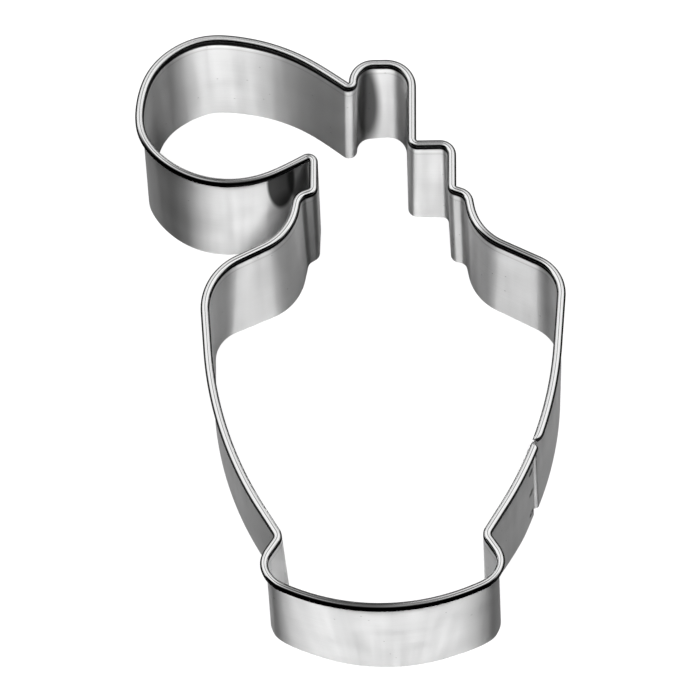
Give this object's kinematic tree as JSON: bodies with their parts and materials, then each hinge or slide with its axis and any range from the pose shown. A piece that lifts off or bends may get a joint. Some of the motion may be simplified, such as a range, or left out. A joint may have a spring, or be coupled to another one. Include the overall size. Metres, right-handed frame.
{
  "type": "cookie cutter",
  "caption": "Cookie cutter for a perfume bottle with a squeeze bulb: a bent strip of sheet steel with a rolled rim on top, lapped and spot welded at one side.",
  "frame": {"origin": "middle of the outer width and length, on the plane of the cutting edge", "axes": "+X to the right across the bottle shape (the squeeze bulb lies towards -X), +Y from the foot of the bottle towards its cap, +Z from the cutting edge up to the rolled rim"},
  "size_m": [0.064, 0.0934, 0.025],
  "materials": {
    "wall_steel": "cold rolled stainless sheet, semi-bright, fine grain along the strip",
    "rim_steel": "rolled stainless sheet, bright",
    "weld_steel": "pressed weld marks, slightly darker"
  },
  "bodies": {
    "root": {"cutter_wall": "wall_steel", "rolled_rim": "rim_steel", "spot_welds": "weld_steel"}
  },
  "joints": []
}
